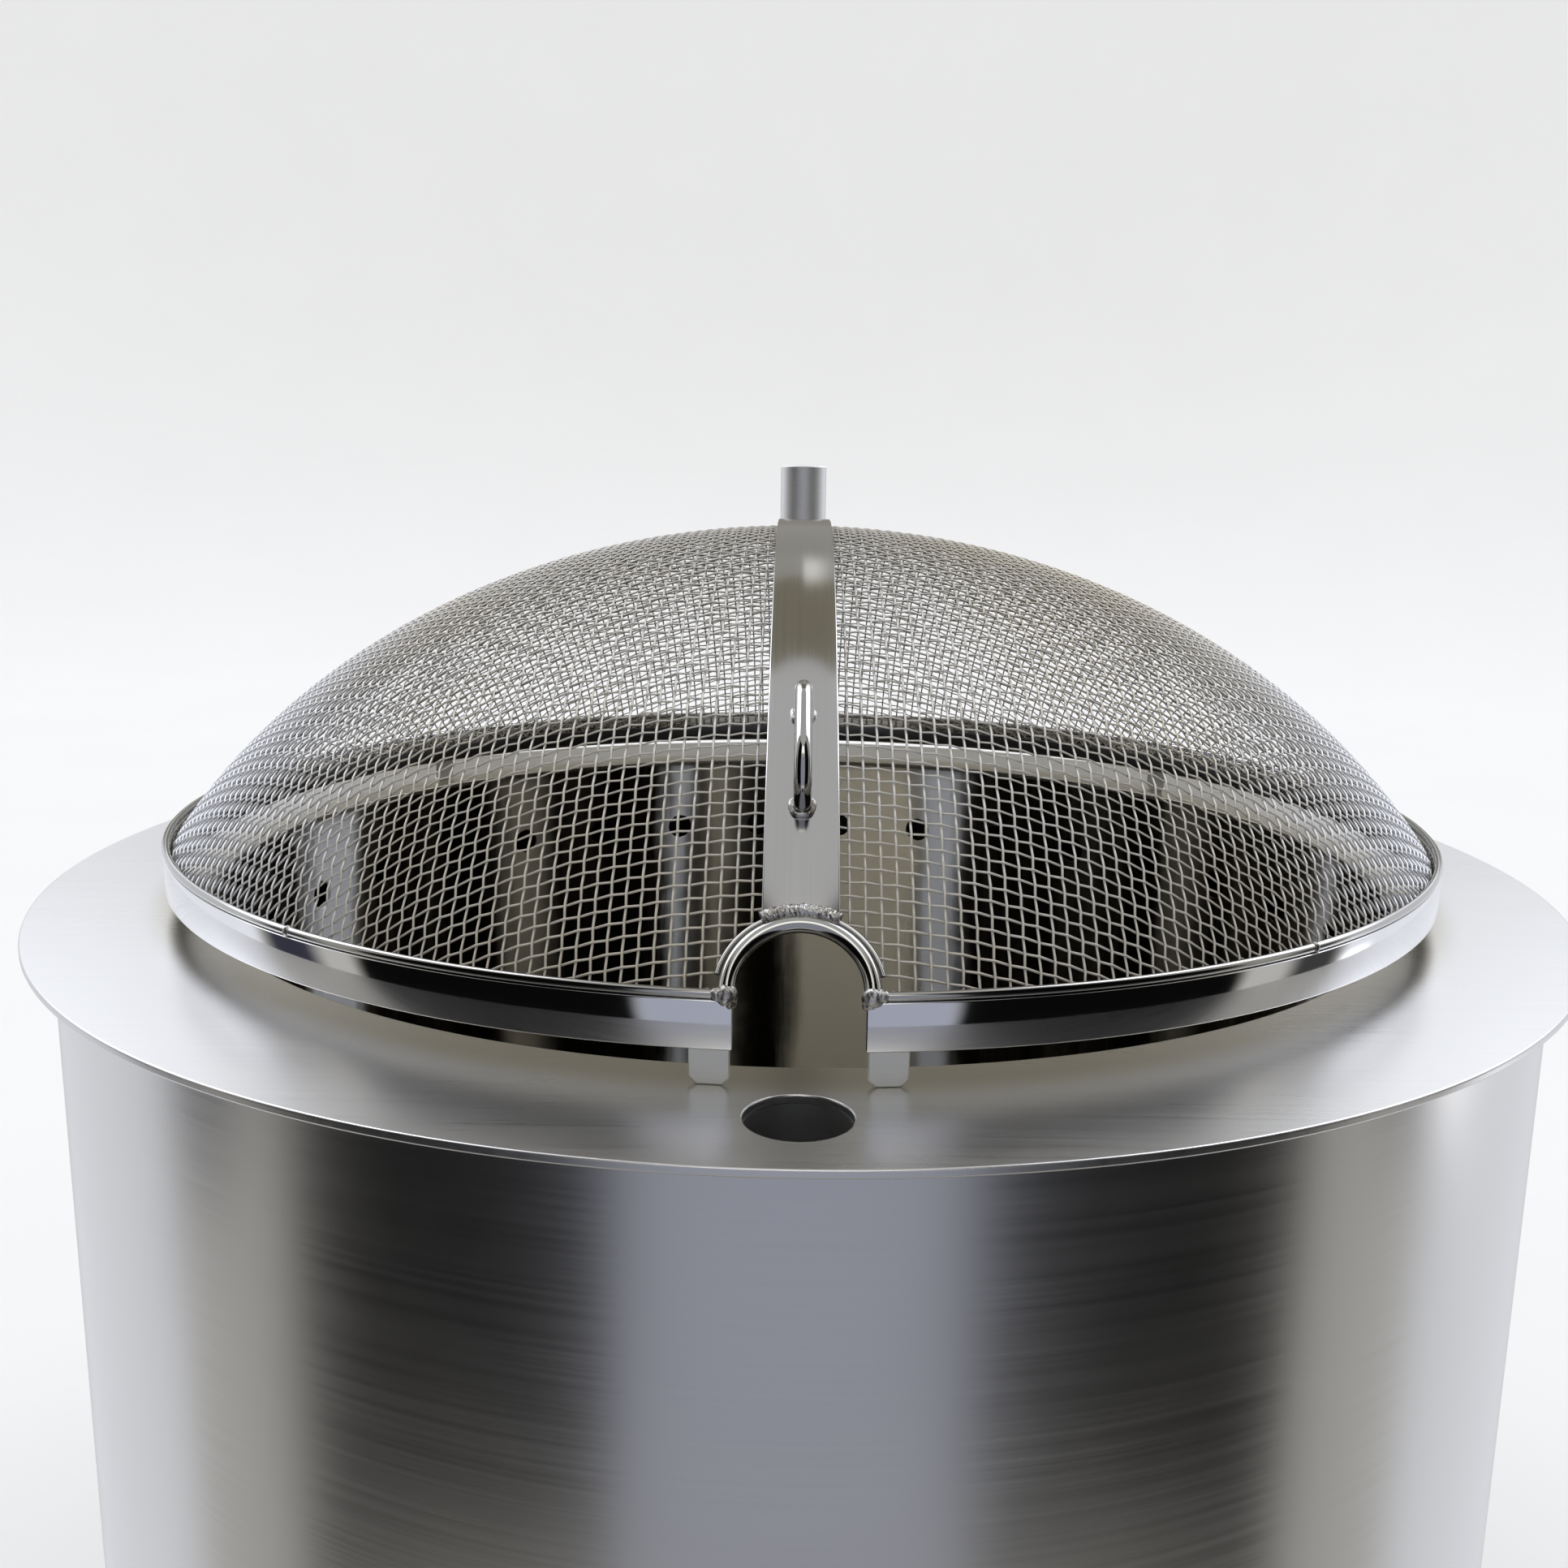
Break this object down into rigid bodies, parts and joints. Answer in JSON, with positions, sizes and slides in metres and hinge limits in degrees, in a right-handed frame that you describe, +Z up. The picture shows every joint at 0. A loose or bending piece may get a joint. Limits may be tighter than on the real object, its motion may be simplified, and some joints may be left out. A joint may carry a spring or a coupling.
{
  "type": "fire pit",
  "caption": "Round double-wall steel fire pit with a wide cooking flange, lift-off domed spark screen with front poker notch, ash pan, grate and a turning accessory post.",
  "frame": {"origin": "centre of the circle of foot pads, on the ground", "axes": "+Z up along the pit's axis, -Y towards the front, where the screen's notch is"},
  "size_m": [0.7099, 0.71, 0.601],
  "materials": {
    "structure_steel": "mill finish",
    "wall_steel": "fine vertical brushing",
    "firebox_steel": "smoke-tinted sheet",
    "flange_steel": "fine satin brushing",
    "pan_steel": "heat-dulled sheet",
    "grate_steel": "matt black heat-proof coat",
    "washer_brass": "plain",
    "post_steel": "satin tube",
    "polished_band": "mirror-polished stainless",
    "polished_rod": "polished stainless rod",
    "weld_metal": "bright weld",
    "mesh_wire": "plain-woven stainless wire",
    "strap_steel": "satin bar",
    "foot_tab_steel": "satin tab"
  },
  "bodies": {
    "pit": {"foot_pads": "structure_steel", "base_ring": "structure_steel", "outer_wall": "wall_steel", "bottom_plate": "structure_steel", "inner_wall": "firebox_steel", "grate_ledge": "firebox_steel", "wall_spacers": "structure_steel", "cooking_flange": "flange_steel", "front_post_socket": "structure_steel", "rear_post_socket": "structure_steel", "front_socket_plug": "structure_steel", "rear_socket_plug": "structure_steel", "front_socket_bracket": "structure_steel", "rear_socket_bracket": "structure_steel"},
    "ash_pan": {"ash_pan": "pan_steel"},
    "fire_grate": {"fire_grate": "grate_steel"},
    "post_swivel": {"post_washer": "washer_brass"},
    "post": {"accessory_post": "post_steel", "post_plug": "post_steel"},
    "spark_screen": {"screen_band": "polished_band", "rim_rod": "polished_rod", "rim_tack_welds": "weld_metal", "mesh_dome": "mesh_wire", "mesh_clamp_ring": "strap_steel", "notch_arch": "polished_rod", "arch_binding": "polished_rod", "arch_welds": "weld_metal", "centre_strap": "strap_steel", "strap_end_weld": "weld_metal", "lift_handle": "polished_rod", "handle_collars": "weld_metal", "screen_foot_front_left": "foot_tab_steel", "screen_foot_front_right": "foot_tab_steel", "screen_foot_rear_left": "foot_tab_steel", "screen_foot_rear_right": "foot_tab_steel"}
  },
  "joints": [
    {"name": "screen_lift", "type": "slide", "parent": "pit", "child": "spark_screen", "axis": [0, 0, 1], "range_m": [0, 0.3]},
    {"name": "pan_lift", "type": "slide", "parent": "pit", "child": "ash_pan", "axis": [0, 0, 1], "range_m": [0, 0.15]},
    {"name": "grate_lift", "type": "slide", "parent": "ash_pan", "child": "fire_grate", "axis": [0, 0, 1], "range_m": [0, 0.14]},
    {"name": "post_turn", "type": "hinge", "parent": "pit", "child": "post_swivel", "pos_m": [0, 0.32, 0.247], "axis": [0, 0, 1], "continuous": true},
    {"name": "post_lift", "type": "slide", "parent": "post_swivel", "child": "post", "axis": [0, 0, 1], "range_m": [0, 0.16]}
  ]
}
